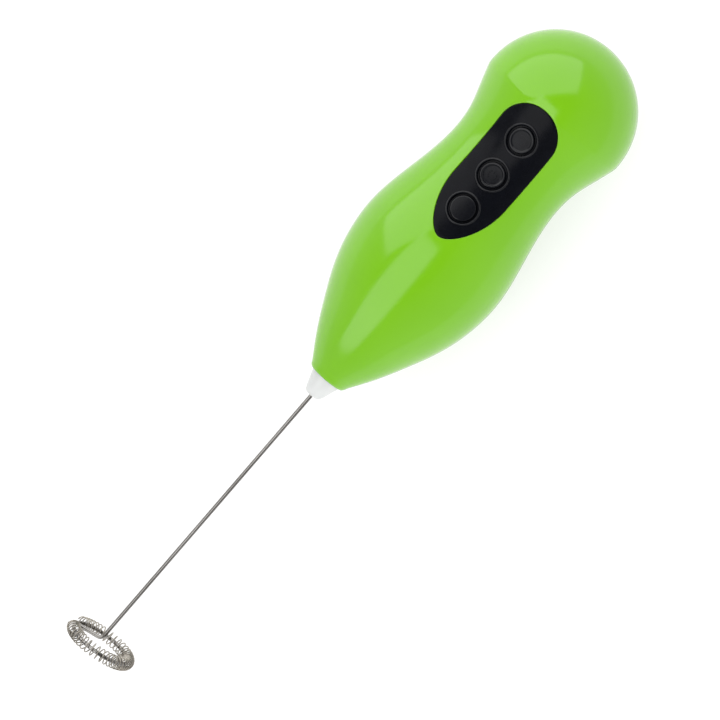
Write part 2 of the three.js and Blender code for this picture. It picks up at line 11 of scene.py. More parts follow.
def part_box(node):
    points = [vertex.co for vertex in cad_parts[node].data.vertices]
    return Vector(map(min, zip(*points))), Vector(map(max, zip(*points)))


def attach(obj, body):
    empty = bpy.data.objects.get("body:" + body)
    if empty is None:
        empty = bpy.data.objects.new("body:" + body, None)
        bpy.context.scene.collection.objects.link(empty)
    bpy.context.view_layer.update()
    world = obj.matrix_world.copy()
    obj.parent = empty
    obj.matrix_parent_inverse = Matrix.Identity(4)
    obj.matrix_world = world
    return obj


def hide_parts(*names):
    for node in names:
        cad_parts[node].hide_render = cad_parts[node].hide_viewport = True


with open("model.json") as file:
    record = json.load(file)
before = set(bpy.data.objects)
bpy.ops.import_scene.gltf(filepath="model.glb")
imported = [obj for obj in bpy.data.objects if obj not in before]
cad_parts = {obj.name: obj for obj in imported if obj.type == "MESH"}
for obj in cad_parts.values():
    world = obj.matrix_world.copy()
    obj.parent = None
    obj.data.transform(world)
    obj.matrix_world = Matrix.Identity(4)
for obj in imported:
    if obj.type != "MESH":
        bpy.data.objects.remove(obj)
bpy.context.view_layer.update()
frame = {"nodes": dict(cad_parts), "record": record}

nodes = frame["nodes"]

# Shapes are worked out in handle coordinates: millimetres, x from the nose end of the green shell to the
# head, the axis at y = z = 0. place() turns them into the frame's metres.
MM = 0.001
NOSE_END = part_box("front_shell")[0]

# ---- Dimensions, as in the CAD part unless a comment says otherwise ---------------------------------

SIDE = [
    (1.5, 6.5), (8.5, 10.8), (16.5, 14.95), (24.5, 18.65), (32.5, 21.3), (39, 22.5), (45, 22.9),
    (52.5, 22.25), (60, 20.8), (68, 19.2), (77, 18.3), (84.5, 19.1), (90.5, 20.95), (96.2, 22.75),
]
HEAD_X = 97.4
HEAD_RADIUS = 22.8
NOSE_BORE = 4.95
WALL = 2.3
REST_DEPTH = 22.5
SEAM = 0.03  # the lower half's rim stands this far below the axis; here only
SEAM_LIP = 0.06  # radius of the rounding along the seam; here only
LIP = 0.22  # radius of the rounding along the edges of openings; here only
LIP_STEPS = 4
DOOR = {"start": 54.6, "end": 112.5, "half": 14.9, "corner": 6.0, "thickness": 1.8}
PANEL = {"nose": 52.6, "shoulder": 68.8, "blunt": 88.1, "end": 96.4, "half": 8.85}
BUTTONS = {"slow": 62.4, "power": 74.2, "fast": 86.3}
CAP_RADIUS = 3.5
PANEL_HOLE = 3.62  # radius of the panel's hole round each cap; here only
CASE_SCREWS = [(15.5, 8, -6.5), (15.5, -8, -6.5), (49.5, 15.2, -6.5), (49.5, -15.2, -6.5), (116.8, 0, -5)]
SCREW_BORE = 2.6
SHANK_HOLE = 1.4
SPOKE_X = -99.9
RING_X = -101.1
RING_OFFSET = -0.8
RING_RADIUS = 9.2
RING_LEAN = 0.08
RING_DROP = 0.5
RING_START = math.radians(8)
RING_END = math.radians(350)
COIL_START = math.radians(24)
COIL_TURNS = 44
COIL_SPREAD = 0.02
COIL_WIRE = 0.19  # this and COIL_RADIUS are slightly under the CAD part's, so that the fine coil stays
COIL_RADIUS = 1.85  # inside the box of the CAD part's faceted one
WIRE_RADIUS = 0.6


def place(points):
    """Handle coordinates in millimetres to the frame's metres."""
    return np.asarray(points, float) * MM + np.array([NOSE_END.x, 0.0, NOSE_END.z])


# ---- The handle's surface ---------------------------------------------------------------------------

def natural_spline(knots, values):
    """Cubic spline with continuous curvature through the knots, as a function of x."""
    x, y = np.asarray(knots, float), np.asarray(values, float)
    h = np.diff(x)
    n = len(x)
    matrix = np.eye(n)
    right = np.zeros(n)
    for i in range(1, n - 1):
        matrix[i, i - 1:i + 2] = h[i - 1], 2 * (h[i - 1] + h[i]), h[i]
        right[i] = 6 * ((y[i + 1] - y[i]) / h[i] - (y[i] - y[i - 1]) / h[i - 1])
    bend = np.linalg.solve(matrix, right)

    def value(at):
        i = np.clip(np.searchsorted(x, at) - 1, 0, n - 2)
        a, b = (x[i + 1] - at) / h[i], (at - x[i]) / h[i]
        curve = ((a ** 3 - a) * bend[i] + (b ** 3 - b) * bend[i + 1]) * h[i] ** 2 / 6
        return a * y[i] + b * y[i + 1] + curve

    return value


def handle_profile():
    """Dense x and radius along the surface from the nose bore to the head's end, and the arc length."""
    side = natural_spline(*zip(*SIDE))
    lip = [(0.0, NOSE_BORE), (0.0, 5.3), (0.06, 5.62), (0.3, 5.92), (0.8, 6.18)]
    xs = np.linspace(SIDE[0][0], SIDE[-1][0], 700)
    flare = math.acos((SIDE[-1][0] - HEAD_X) / HEAD_RADIUS)
    angles = np.linspace(flare, 0, 400)[1:]
    dome = np.c_[HEAD_X + HEAD_RADIUS * np.cos(angles), HEAD_RADIUS * np.sin(angles)]
    points = np.vstack([lip, np.c_[xs, side(xs)], dome])
    length = np.r_[0, np.cumsum(np.hypot(*np.diff(points, axis=0).T))]
    even = np.linspace(0, length[-1], 3000)
    x, radius = np.interp(even, length, points[:, 0]), np.interp(even, length, points[:, 1])
    # Round the slight corner where the flare meets the head.
    soft = np.exp(-np.linspace(-2, 2, 25) ** 2)
    soft /= soft.sum()
    near = (x > 90) & (x < 104)
    smooth = np.convolve(radius, soft, "same")
    radius = np.where(near, smooth, radius)
    return x, radius, even


PROFILE_X, PROFILE_RADIUS, PROFILE_LENGTH = handle_profile()
TOTAL_LENGTH = PROFILE_LENGTH[-1]
SPREAD = 20.0  # millimetres of parameter for one radian round the axis
HALF_TURN = math.pi / 2 * SPREAD


def radius_at(x):
    return np.interp(x, PROFILE_X, PROFILE_RADIUS)


def height_at(x, y):
    """Height of the handle's surface over the axis plane, above (x, y)."""
    return np.sqrt(np.maximum(radius_at(x) ** 2 - np.asarray(y) ** 2, 0))


def unrolled(outline):
    """An outline seen from above as points of the unrolled surface: length along it, angle times SPREAD."""
    x, y = np.asarray(outline, float).T
    return np.c_[np.interp(x, PROFILE_X, PROFILE_LENGTH), np.arcsin(y / radius_at(x)) * SPREAD]


def profile_at(s):
    """x and radius at a length along the surface."""
    return np.interp(s, PROFILE_LENGTH, PROFILE_X), np.interp(s, PROFILE_LENGTH, PROFILE_RADIUS)


def rolled(points, depth, thickness=0.0, up=1):
    """Unrolled points back on the surface, moved in by a depth along the normal and a thickness."""
    s, v = points[:, 0], points[:, 1]
    x, radius = profile_at(s)
    before, after = profile_at(s - 0.1), profile_at(s + 0.1)
    along = np.arctan2(after[1] - before[1], after[0] - before[0])
    x = x + depth * np.sin(along)
    inner = radius - depth * np.cos(along)
    if thickness:
        inner = np.minimum(np.maximum(radius - thickness, NOSE_BORE), inner)
        dome = x > HEAD_X
        shrink = 1 - thickness / HEAD_RADIUS
        x = np.where(dome, HEAD_X + (x - HEAD_X) * shrink, x)
        inner = np.where(dome, radius * shrink, inner)
    angle = v / SPREAD
    return np.c_[x, inner * np.sin(angle), up * inner * np.cos(angle)]


# ---- Outlines seen from above -----------------------------------------------------------------------

def bezier(a, b, c, d, count):
    t = np.linspace(0, 1, count)[:, None]
    a, b, c, d = (np.asarray(p, float) for p in (a, b, c, d))
    return (1 - t) ** 3 * a + 3 * (1 - t) ** 2 * t * b + 3 * (1 - t) * t ** 2 * c + t ** 3 * d


def panel_outline(margin=0.0):
    half, nose = PANEL["half"] + margin, PANEL["nose"] - margin
    lower = bezier((nose, 0), (nose, -3.3), (59.8, -half), (PANEL["shoulder"], -half), 40)
    straight = np.c_[np.linspace(PANEL["shoulder"], PANEL["blunt"], 28)[1:], np.full(27, -half)]
    angle = np.linspace(-math.pi / 2, 0, 24)[1:]
    length = PANEL["end"] + margin - PANEL["blunt"]
    blunt = np.c_[PANEL["blunt"] + length * np.cos(angle), half * np.sin(angle)]
    one_side = np.vstack([lower, straight, blunt])
    return np.vstack([one_side, one_side[-2:0:-1] * (1, -1)])


def rounded_rectangle(x0, x1, half, corner, step=0.8):
    turn = np.linspace(0, math.pi / 2, 14)
    arcs = []
    centres = [(x1 - corner, half - corner), (x0 + corner, half - corner),
               (x0 + corner, corner - half), (x1 - corner, corner - half)]
    for i, (cx, cy) in enumerate(centres):
        angle = turn + i * math.pi / 2
        arcs.append(np.c_[cx + corner * np.cos(angle), cy + corner * np.sin(angle)])
    points = []
    for arc, following in zip(arcs, arcs[1:] + arcs[:1]):
        gap = following[0] - arc[-1]
        count = max(int(np.hypot(*gap) / step), 1)
        points += [arc, arc[-1] + gap * np.linspace(0, 1, count + 1)[1:-1, None]]
    return np.vstack(points)


def door_outline(margin=0.0):
    return rounded_rectangle(DOOR["start"] - margin, DOOR["end"] + margin, DOOR["half"] + margin,
                             DOOR["corner"] + margin)


def circle(x, y, radius, count=72):
    angle = np.linspace(0, 2 * math.pi, count, endpoint=False)
    return np.c_[x + radius * np.cos(angle), y + radius * np.sin(angle)]


def inside(points, outline):
    """Which points lie inside a closed outline."""
    x, y = points[:, 0][:, None], points[:, 1][:, None]
    x0, y0 = outline.T
    x1, y1 = np.roll(outline, -1, axis=0).T
    crosses = (y0 > y) != (y1 > y)
    with np.errstate(divide="ignore", invalid="ignore"):
        hits = crosses & (x < (x1 - x0) * (y - y0) / (y1 - y0) + x0)
    return hits.sum(axis=1) % 2 == 1


def rounding(radius):
    """Steps over a rounded edge: (distance in from the edge, depth under the surface)."""
    steps = []
    for i in range(LIP_STEPS + 1):
        margin = radius * (1 - math.cos(math.pi / 2 * i / LIP_STEPS))
        steps.append((margin, radius - math.sqrt(radius ** 2 - (radius - margin) ** 2)))
    return steps


def lip_rings(outline_at, outward=1):
    """Rings for a rounded edge: (outline, depth) from the edge to the flat surface."""
    return [(outline_at(outward * margin), depth) for margin, depth in rounding(LIP)]


# ---- Mesh building ----------------------------------------------------------------------------------

def mesh_object(name, vertices, faces):
    mesh = bpy.data.meshes.new(name)
    mesh.from_pydata([tuple(v) for v in vertices], [], faces)
    mesh.validate()
    obj = bpy.data.objects.new(name, mesh)
    bpy.context.scene.collection.objects.link(obj)
    mesh.shade_smooth()
    return obj


def clean(obj, sharp=50, quads=False):
    """Merge doubled vertices, face the normals outwards and split the shading at sharp edges."""
    work = bmesh.new()
    work.from_mesh(obj.data)
    bmesh.ops.remove_doubles(work, verts=work.verts, dist=2e-6)
    bmesh.ops.dissolve_degenerate(work, edges=work.edges, dist=1e-7)
    if quads:
        bmesh.ops.join_triangles(work, faces=work.faces, angle_face_threshold=0.35,
                                 angle_shape_threshold=0.7)
    bmesh.ops.recalc_face_normals(work, faces=work.faces)
    work.to_mesh(obj.data)
    work.free()
    obj.data.shade_smooth()
    obj.data.set_sharp_from_angle(angle=math.radians(sharp))
    return obj


def closed_edges(outlines):
    """Edges that close each outline, when the outlines' points are numbered one after another."""
    edges = []
    start = 0
    for outline in outlines:
        count = len(outline)
        edges += [(start + i, start + (i + 1) % count) for i in range(count)]
        start += count
    return edges


def field_points(s, v, outlines, step_back):
    """The grid's points that keep this far away from the outlines."""
    field = np.array([(a, b) for a in s for b in v])
    everything = np.vstack(outlines)
    return field[[np.min(np.hypot(*(everything - p).T)) > step_back for p in field]]


def seam_rows(s):
    """Rows of points that round a half shell's two long edges, each with its depths."""
    _, radius = profile_at(s)
    rows = []
    for margin, depth in rounding(SEAM_LIP)[:-1]:
        inset = np.minimum(margin / np.maximum(radius, 0.5), 0.1) * SPREAD
        depths = np.full(len(s), depth) * np.minimum(radius / 2, 1)
        rows += [(np.c_[s, sign * (HALF_TURN - inset)], depths) for sign in (1, -1)]
    return rows


def triangulated(flat, depth, edges):
    """Triangles between points and through edges: their corners, each corner's depth, and the faces."""
    corners, _, faces, origins, *_ = delaunay_2d_cdt([Vector(p) for p in flat], edges, [], 0, 1e-5)
    depth = np.array([depth[origin[0]] if origin else 0.0 for origin in origins])
    return np.array([tuple(corner) for corner in corners]), depth, np.array(faces)


def from_above(flat):
    """Where unrolled points are, seen from above."""
    x, radius = profile_at(flat[:, 0])
    return np.c_[x, radius * np.sin(flat[:, 1] / SPREAD)]


def shell_faces(faces, count):
    """Both sides and the rims of a shell whose inner points follow its count outer ones."""
    edges = dict.fromkeys(edge for a, b, c in faces for edge in ((a, b), (b, c), (c, a)))
    rims = [(b, a, a + count, b + count) for a, b in edges if (b, a) not in edges]
    both = [*faces, *(face[::-1] + count for face in faces), *rims]
    return [tuple(int(i) for i in face) for face in both]


def skin(name, grid, rings, keep, thickness, up=1, raise_by=None, seam=True, step_back=0.45):
    """A shell over part of the handle's surface.

    grid is (s0, s1, v0, v1) with steps; rings are (outline, depth) pairs seen from above; keep tells which
    points seen from above belong to the shell. Its inside is the same surface, thickness further in.
    """
    s = np.linspace(grid[0], grid[1], grid[4])
    v = np.linspace(grid[2], grid[3], grid[5])
    outlines = [unrolled(outline) for outline, _ in rings]
    field = field_points(s, v, outlines, step_back)
    layers = [(points, np.full(len(points), depth)) for points, (_, depth) in zip(outlines, rings)]
    layers.append((field, np.zeros(len(field))))
    if seam:
        layers += seam_rows(s)
    flat = np.vstack([points for points, _ in layers])
    depth = np.concatenate([depths for _, depths in layers])
    corners, depth, faces = triangulated(flat, depth, closed_edges(outlines))
    faces = faces[keep(from_above(corners[faces].mean(axis=1)))]
    outer = rolled(corners, depth, up=up)
    if raise_by is not None:
        outer[:, 2] += up * raise_by(outer[:, 0], outer[:, 1])
    if up < 0:
        outer[:, 2] = np.maximum(outer[:, 2], -REST_DEPTH)
    inner = rolled(corners, np.zeros(len(corners)), thickness, up=up)
    obj = mesh_object(name, place(np.vstack([outer, inner])), shell_faces(faces, len(corners)))
    return clean(obj, quads=True)


def ring_faces(rows, count, closed=False):
    """Quads between neighbouring rings of count points; closed also joins the last ring to the first."""
    faces = []
    for i in range(rows if closed else rows - 1):
        following = (i + 1) % rows
        for j in range(count):
            k = (j + 1) % count
            faces.append((i * count + j, i * count + k, following * count + k, following * count + j))
    return faces


def lathe(name, profile, sides=72, along=1, offset=(0, 0, 0), sharp=40):
    """A closed solid turned round the x axis, from (x, radius) points."""
    angle = np.linspace(0, 2 * math.pi, sides, endpoint=False)
    rings = [np.c_[np.full(sides, along * x), r * np.cos(angle), r * np.sin(angle)] for x, r in profile]
    vertices = np.vstack(rings) + np.asarray(offset, float)
    faces = ring_faces(len(profile), sides)
    if profile[0] != profile[-1]:
        faces.append(tuple(range(sides)))
        faces.append(tuple(range((len(profile) - 1) * sides, len(profile) * sides))[::-1])
    return clean(mesh_object(name, place(vertices), faces), sharp)


def tube(name, path, radius, sides=12):
    """A round wire along a path of points, with closed ends."""
    path = np.asarray(path, float)
    tangent = np.gradient(path, axis=0)
    tangent /= np.linalg.norm(tangent, axis=1)[:, None]
    side = np.cross(tangent[0], (0.3, 0.5, 0.8))
    angle = np.linspace(0, 2 * math.pi, sides, endpoint=False)
    rings = []
    for point, forward in zip(path, tangent):
        side = side - forward * side.dot(forward)
        side /= np.linalg.norm(side)
        other = np.cross(forward, side)
        rings.append(point + radius * (np.outer(np.cos(angle), side) + np.outer(np.sin(angle), other)))
    faces = ring_faces(len(path), sides)
    faces.append(tuple(range(sides))[::-1])
    faces.append(tuple(range((len(path) - 1) * sides, len(path) * sides)))
    return clean(mesh_object(name, place(np.vstack(rings)), faces), 60)


# ---- Materials --------------------------------------------------------------------------------------

class Look:
    """A node material built from short calls."""

    def __init__(self, name, **settings):
        self.material = bpy.data.materials.new(name)
        self.material.use_nodes = True
        self.tree = self.material.node_tree
        self.shader = self.tree.nodes["Principled BSDF"]
        self.where = self.node("ShaderNodeTexCoord").outputs["Object"]
        for socket, value in settings.items():
            self.shader.inputs[socket.replace("_", " ").title().replace("Ior", "IOR")].default_value = value

    def node(self, kind, **inputs):
        node = self.tree.nodes.new(kind)
        for socket, value in inputs.items():
            self.feed(node.inputs[socket.replace("_", " ").title()], value)
        return node

    def feed(self, socket, value):
        if isinstance(value, bpy.types.NodeSocket):
            self.tree.links.new(value, socket)
        else:
            socket.default_value = value

    def noise(self, scale, detail=3.0, stretch=(1, 1, 1)):
        mapping = self.node("ShaderNodeMapping", vector=self.where, scale=stretch)
        texture = self.node("ShaderNodeTexNoise", vector=mapping.outputs[0], scale=scale, detail=detail)
        return texture.outputs["Fac"]

    def ramp(self, value, low, high, start=0.3, end=0.7):
        """Colours, or numbers as greys, from low to high as the value goes from start to end."""
        node = self.node("ShaderNodeValToRGB", fac=value)
        for element, at, colour in zip(node.color_ramp.elements, (start, end), (low, high)):
            element.position = at
            element.color = (*colour, 1) if isinstance(colour, tuple) else (colour, colour, colour, 1)
        return node.outputs["Color"]

    def colour(self, value, low, high, start=0.3, end=0.7):
        self.feed(self.shader.inputs["Base Color"], self.ramp(value, low, high, start, end))

    def roughness(self, value, low, high, start=0.3, end=0.7):
        self.feed(self.shader.inputs["Roughness"], self.ramp(value, low, high, start, end))

    def bump(self, value, distance, strength):
        node = self.node("ShaderNodeBump", height=value, strength=strength, distance=distance)
        self.tree.links.new(node.outputs["Normal"], self.shader.inputs["Normal"])


def green_plastic():
    look = Look("green_plastic", specular_ior_level=0.5)
    look.colour(look.noise(40, 2), (0.142, 0.385, 0.003), (0.154, 0.405, 0.005))
    look.roughness(look.noise(900, 4, (0.15, 1, 1)), 0.13, 0.17)
    look.bump(look.noise(160, 2), 0.00002, 0.35)
    return look.material


def black_soft_touch(name, shine, low, high, grain):
    look = Look(name, specular_ior_level=shine)
    look.colour(look.noise(300, 3), (0.0015, 0.0018, 0.003), (0.0026, 0.003, 0.0048))
    look.roughness(look.noise(1200, 3), low, high)
    look.bump(look.noise(grain, 2), 0.00002, 0.2)
    return look.material


def milky_plastic():
    look = Look("milky_plastic", subsurface_weight=0.35, subsurface_scale=0.004)
    look.shader.inputs["Subsurface Radius"].default_value = (1.0, 1.0, 1.0)
    look.colour(look.noise(120, 2), (0.52, 0.53, 0.525), (0.57, 0.58, 0.575))
    look.roughness(look.noise(1500, 3), 0.28, 0.4)
    look.bump(look.noise(700, 2), 0.00002, 0.3)
    return look.material


def drawn_steel(name, dark, light, low, high, stretch=(0.03, 1, 1)):
    look = Look(name, metallic=1.0)
    look.colour(look.noise(2500, 3, stretch), dark, light)
    look.roughness(look.noise(4000, 2, stretch), low, high)
    look.bump(look.noise(6000, 2, stretch), 0.00001, 0.4)
    return look.material


def plated_metal(name, dark, light, roughness=0.3):
    look = Look(name, metallic=1.0)
    look.colour(look.noise(400, 4), dark, light)
    look.roughness(look.noise(1800, 4), roughness - 0.08, roughness + 0.08)
    look.bump(look.noise(2500, 3), 0.00001, 0.4)
    return look.material


def moulded_plastic(name, dark, light, roughness=0.5):
    look = Look(name, specular_ior_level=0.45)
    look.colour(look.noise(150, 3), dark, light)
    look.roughness(look.noise(1500, 3), roughness - 0.07, roughness + 0.07)
    look.bump(look.noise(1800, 3), 0.00002, 0.4)
    return look.material


def cell_sleeve():
    look = Look("cell_sleeve", metallic=0.35)
    look.colour(look.noise(200, 2), (0.045, 0.065, 0.1), (0.06, 0.085, 0.125))
    look.roughness(look.noise(900, 3), 0.28, 0.36)
    look.bump(look.noise(1200, 2), 0.00001, 0.3)
    return look.material


GREEN = green_plastic()
PANEL_BLACK = black_soft_touch("panel_black", 0.1, 0.22, 0.28, 2600)
BUTTON_BLACK = black_soft_touch("button_black", 0.17, 0.26, 0.32, 2600)
RIM_BLACK = black_soft_touch("rim_black", 0.3, 0.14, 0.2, 3200)
MILKY = milky_plastic()
# The whisk wire's steel is darker than the coil's, though both are one steel: painted shade that stands in
# for the coil's shade on the ring's core, given to the whole wire.
SHADED_WHISK_STEEL = drawn_steel("whisk_steel", (0.2, 0.19, 0.18), (0.31, 0.3, 0.285), 0.14, 0.24)
COIL_STEEL = drawn_steel("coil_steel", (0.25, 0.23, 0.2), (0.42, 0.39, 0.34), 0.14, 0.22, (1, 1, 1))

CAD_LOOKS = {
    "motor_steel": plated_metal("motor_plate", (0.5, 0.5, 0.49), (0.62, 0.62, 0.6), 0.32),
    "contact_nickel": plated_metal("nickel", (0.58, 0.56, 0.52), (0.7, 0.68, 0.63), 0.26),
    "screw_steel": plated_metal("zinc_screw", (0.44, 0.44, 0.43), (0.58, 0.57, 0.55), 0.34),
    "brass": plated_metal("brass", (0.5, 0.36, 0.13), (0.62, 0.46, 0.19), 0.28),
    "copper": plated_metal("copper", (0.42, 0.18, 0.08), (0.55, 0.26, 0.12), 0.35),
    "magnet": moulded_plastic("ferrite", (0.03, 0.03, 0.032), (0.05, 0.05, 0.052), 0.7),
    "inner_plastic": moulded_plastic("grey_plastic", (0.42, 0.43, 0.42), (0.5, 0.51, 0.5), 0.5),
    "switch_plastic": moulded_plastic("switch_plastic", (0.012, 0.012, 0.013), (0.02, 0.02, 0.021), 0.45),
    "board": moulded_plastic("solder_mask", (0.01, 0.09, 0.035), (0.016, 0.12, 0.05), 0.35),
    "cell_can": cell_sleeve(),
    "red_lead": moulded_plastic("red_pvc", (0.38, 0.015, 0.012), (0.46, 0.02, 0.016), 0.42),
    "black_lead": moulded_plastic("black_pvc", (0.01, 0.01, 0.011), (0.016, 0.016, 0.018), 0.42),
    "green_shell": GREEN,
    "milky_plastic": MILKY,
    "black_panel": PANEL_BLACK,
    "black_button": BUTTON_BLACK,
    "whisk_steel": SHADED_WHISK_STEEL,
}


def dress_cad_nodes():
    for part in frame["record"]["subparts"]:
        obj = nodes[part["node"]]
        obj.data.materials.clear()
        obj.data.materials.append(CAD_LOOKS[part["material_slot"]])


def finish_piece(obj, material, body, slot, *replaced):
    obj.data.materials.append(material)
    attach(obj, body)
    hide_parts(*replaced)
    return obj


# ---- Housing ----------------------------------------------------------------------------------------

WHOLE_HALF = (0, TOTAL_LENGTH, -HALF_TURN, HALF_TURN, 190, 78)


def front_shell():
    rings = lip_rings(lambda margin: panel_outline(margin + 0.12))
    obj = skin("front_shell_skin", WHOLE_HALF, rings, lambda p: ~inside(p, panel_outline(0.12)), WALL)
    return finish_piece(obj, GREEN, "handle", "green_shell", "front_shell")


CUP_SIDES = 48
CUP_WALL = 0.45
SEAT_THICKNESS = 1.5


def screw_cup(x, y, seat):
    """The bore that a screw head sits in: a tube from just under the shell's surface to its seat."""
    angle = np.linspace(0, 2 * math.pi, CUP_SIDES, endpoint=False)

    def ring(radius, height=None):
        px, py = x + radius * np.cos(angle), y + radius * np.sin(angle)
        under_surface = -height_at(px, py) + 0.5
        return np.c_[px, py, under_surface if height is None else np.full(CUP_SIDES, float(height))]

    outer, inner = SCREW_BORE + CUP_WALL, SCREW_BORE - 0.02
    back = seat + SEAT_THICKNESS
    rings = [ring(outer), ring(inner), ring(inner, seat), ring(SHANK_HOLE, seat), ring(SHANK_HOLE, back),
             ring(outer, back)]
    faces = ring_faces(len(rings), CUP_SIDES, closed=True)
    return clean(mesh_object("screw_cup", place(np.vstack(rings)), faces), 40)


def join(objects):
    """Several meshes as one object, the first one."""
    work = bmesh.new()
    for obj in objects:
        work.from_mesh(obj.data)
    work.to_mesh(objects[0].data)
    work.free()
    for obj in objects[1:]:
        bpy.data.objects.remove(obj)
    return objects[0]


def rear_shell():
    rings = lip_rings(lambda margin: door_outline(margin + 0.15))
    for x, y, _ in CASE_SCREWS:
        rings += lip_rings(lambda margin, x=x, y=y: circle(x, y, SCREW_BORE + margin, CUP_SIDES))

    def keep(points):
        out = inside(points, door_outline(0.15))
        for x, y, _ in CASE_SCREWS:
            out |= np.hypot(points[:, 0] - x, points[:, 1] - y) < SCREW_BORE
        return ~out

    obj = skin("rear_shell_skin", WHOLE_HALF, rings, keep, WALL, up=-1)
    obj = join([obj] + [screw_cup(*screw) for screw in CASE_SCREWS])
    lower_by_seam(obj)
    return finish_piece(obj, GREEN, "handle", "green_shell", "rear_shell")


def lower_by_seam(obj):
    """Opens the seam: the lower half's rim stands a little below the axis."""
    co = np.zeros(len(obj.data.vertices) * 3)
    obj.data.vertices.foreach_get("co", co)
    co = co.reshape(-1, 3)
    height = NOSE_END.z - SEAM * MM
    co[:, 2] = np.minimum(co[:, 2], height)
    obj.data.vertices.foreach_set("co", co.ravel())


RIDGE_STARTS = (60, 62.5, 65)
RIDGE_HALF = 0.75
RIDGE_HEIGHT = 0.45
RIDGE_REACH = 7.3  # half the length of a ridge across the door


def grip_ridges(x, y):
    """Height of the rounded grip ridges over the door's surface."""
    shape = np.zeros_like(x)
    for start in RIDGE_STARTS:
        across = np.clip(1 - ((x - start - 0.6) / RIDGE_HALF) ** 2, 0, None)
        ends = np.clip((RIDGE_REACH - np.abs(y)) / 0.8, 0, 1)
        shape = np.maximum(shape, RIDGE_HEIGHT * np.sqrt(across) * np.sqrt(ends))
    return shape


def battery_door():
    rings = lip_rings(door_outline, outward=-1)
    low = np.interp(DOOR["start"] - 1, PROFILE_X, PROFILE_LENGTH)
    high = np.interp(DOOR["end"] + 1, PROFILE_X, PROFILE_LENGTH)
    edge = SPREAD  # one radian to each side, just past the door's own edge
    obj = skin("battery_door_skin", (low, high, -edge, edge, 150, 60), rings,
               lambda p: inside(p, door_outline()), DOOR["thickness"], up=-1, raise_by=grip_ridges,
               seam=False)
    return finish_piece(obj, GREEN, "battery_door", "green_shell", "battery_door")


def nose_cone():
    profile = [(2.0, 0.72), (-6.5, 0.72), (-6.5, 1.75), (-6.42, 2.1), (-6.2, 2.38), (-5.85, 2.62),
               (-5.3, 2.9), (-4.0, 3.38), (-2.0, 4.06), (-0.6, 4.55), (0.0, 4.76), (0.5, 4.88),
               (4.0, 4.88), (4.0, 5.4), (6.0, 5.4), (6.0, 4.0), (7.8, 4.0), (7.8, 2.5), (2.0, 2.5),
               (2.0, 0.72)]
    obj = lathe("nose_cone_skin", profile, 96, sharp=35)
    return finish_piece(obj, MILKY, "handle", "milky_plastic", "nose_cone")


# ---- Panel and buttons ------------------------------------------------------------------------------

BEAD = (4.2, 4.8)  # the raised bead round each button, inner and outer radius
BEAD_HEIGHT = 0.3
MOAT_DEPTH = 0.75


def panel_relief(x, y):
    """Height of the beads round the buttons, and the moats inside them."""
    relief = np.zeros_like(x)
    for centre in BUTTONS.values():
        away = np.hypot(x - centre, y)
        middle, half = sum(BEAD) / 2, (BEAD[1] - BEAD[0]) / 2
        bead = BEAD_HEIGHT * np.sqrt(np.clip(1 - ((away - middle) / half) ** 2, 0, 1))
        moat = -MOAT_DEPTH * np.clip((BEAD[0] - away) / 0.2, 0, 1)
        relief += bead + moat
    return relief


def polish(obj, low, high):
    """Gives the rims round the buttons, between two radii, their own shinier black."""
    obj.data.materials.append(RIM_BLACK)
    shiny = len(obj.data.materials) - 1
    origin = place((0, 0, 0))
    for face in obj.data.polygons:
        x, y, _ = (np.array(face.center) - origin) / MM
        away = min(math.hypot(x - centre, y) for centre in BUTTONS.values())
        if low < away < high:
            face.material_index = shiny
    return obj


def button_panel():
    rings = lip_rings(panel_outline, outward=-1)
    for x in BUTTONS.values():
        bead = [sum(BEAD) / 2 - math.cos(i * math.pi / 10) * (BEAD[1] - BEAD[0]) / 2 for i in range(11)]
        for radius in [PANEL_HOLE, 3.8, BEAD[0] - 0.2, *bead, BEAD[1] + 0.2]:
            rings.append((circle(x, 0, radius), 0.0))

    def keep(points):
        kept = inside(points, panel_outline())
        for x in BUTTONS.values():
            kept &= np.hypot(points[:, 0] - x, points[:, 1]) > PANEL_HOLE
        return kept

    low = np.interp(PANEL["nose"] - 1, PROFILE_X, PROFILE_LENGTH)
    high = np.interp(PANEL["end"] + 1, PROFILE_X, PROFILE_LENGTH)
    edge = 0.56 * SPREAD
    obj = skin("button_panel_skin", (low, high, -edge, edge, 90, 48), rings, keep, 3.4,
               raise_by=panel_relief, seam=False, step_back=0.3)
    finish_piece(obj, PANEL_BLACK, "handle", "black_panel", "button_panel")
    return polish(obj, *BEAD)


def flat_top(height):
    """A slightly crowned cap, its middle this high over the panel."""
    return lambda radius: height - 0.08 * (radius / CAP_RADIUS) ** 2


def dished_top(rim, depth):
    """A cap with a raised rim round a shallow dish."""
    def height(radius):
        share = np.clip((np.asarray(radius, float) - 2.45) / 0.65, 0, 1)
        return rim - depth * (1 + np.cos(math.pi * share)) / 2
    return height


RIM = {"slow": 3.15, "power": 2.7, "fast": 2.7}  # where each cap's shiny rim begins


def button(name, crown):
    """A cap whose top follows the panel; crown gives its height over the panel at a radius."""
    x = BUTTONS[name]
    edge = 0.3
    radii = [0.02, *np.arange(0.4, 2.4, 0.4), *np.arange(2.45, 3.2, 0.08), *(
        CAP_RADIUS - edge * (1 - math.sin(math.pi / 2 * i / 8)) for i in range(9))]
    count = 96
    rings = []
    for radius in radii:
        outline = circle(x, 0, radius, count)
        fall = edge - math.sqrt(max(edge ** 2 - max(radius - CAP_RADIUS + edge, 0) ** 2, 0))
        rings.append(np.c_[outline, height_at(*outline.T) + crown(radius) - fall])
    skirt = rings[-1] - (0, 0, 3.0)
    low = skirt[:, 2].min() - 0.2
    foot = (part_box(f"{name}_button")[0].z - NOSE_END.z) / MM
    rings.append(skirt)
    rings += [np.c_[circle(x, 0, 1.6, count), np.full(count, z)] for z in (low, foot)]
    faces = ring_faces(len(rings), count)
    faces.append(tuple(range(count)))
    faces.append(tuple(range((len(rings) - 1) * count, len(rings) * count)))
    return clean(mesh_object(f"{name}_button_cap", place(np.vstack(rings)), faces), 40)


